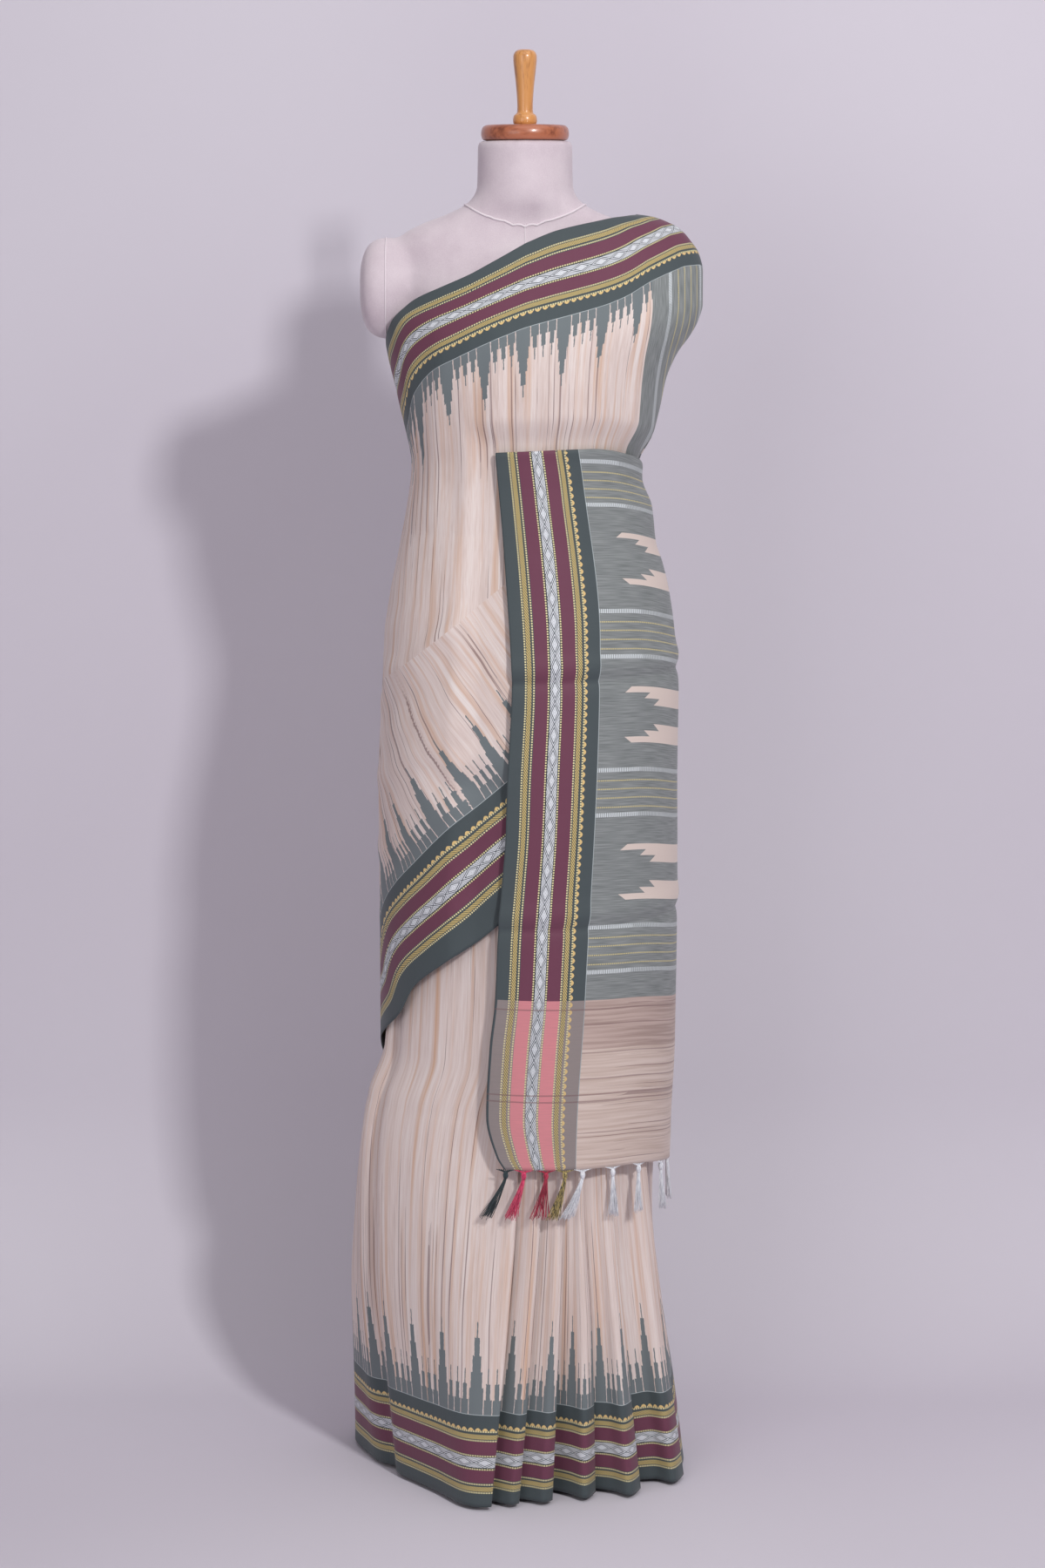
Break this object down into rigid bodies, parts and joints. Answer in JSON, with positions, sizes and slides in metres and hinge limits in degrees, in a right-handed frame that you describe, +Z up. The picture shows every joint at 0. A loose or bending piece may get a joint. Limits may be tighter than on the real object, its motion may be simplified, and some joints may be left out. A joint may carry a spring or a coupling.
{
  "type": "saree on a dress form",
  "caption": "A wound silk saree with woven borders, pleats and a tasselled pallu, standing on a limbless dress form with a pole and a round base.",
  "frame": {"origin": "centre of the stand's round base, on its underside, where the form stands on the floor", "axes": "+Z up, -Y towards the viewer in front of the saree, +X to the viewer's right"},
  "size_m": [0.4257, 0.3709, 1.7206],
  "materials": {
    "form_cover": "matte pale lilac-beige cotton cover",
    "cap_wood": "turned reddish wood, satin varnish",
    "handle_wood": "turned honey-coloured wood, satin varnish",
    "pole_steel": "brushed steel tube",
    "base_iron": "matt dark paint on a heavy disc",
    "saree_silk": "matte slubby tussar silk with woven borders",
    "pallu_silk": "matte grey tussar silk with woven stripes",
    "tassel_green": "knotted dark green yarn",
    "tassel_pink": "knotted pink yarn",
    "tassel_red": "knotted red yarn",
    "tassel_gold": "knotted gold yarn",
    "tassel_white": "knotted white yarn"
  },
  "bodies": {
    "root": {"dress_form": "form_cover", "neck_cap_disc": "cap_wood", "neck_cap_handle": "handle_wood", "stand_pole": "pole_steel", "stand_base": "base_iron", "pallu_back": "pallu_silk", "pallu_end": "pallu_silk", "skirt_wrap": "saree_silk", "skirt_pleats": "saree_silk", "hip_wrap": "saree_silk", "chest_drape": "saree_silk", "tassel_1": "tassel_green", "tassel_2": "tassel_pink", "tassel_3": "tassel_red", "tassel_4": "tassel_gold", "tassel_5": "tassel_white", "tassel_6": "tassel_white", "tassel_7": "tassel_white", "tassel_8": "tassel_white", "tassel_9": "tassel_white", "tassel_10": "tassel_white", "tassel_11": "tassel_white", "tassel_12": "tassel_white"}
  },
  "joints": []
}
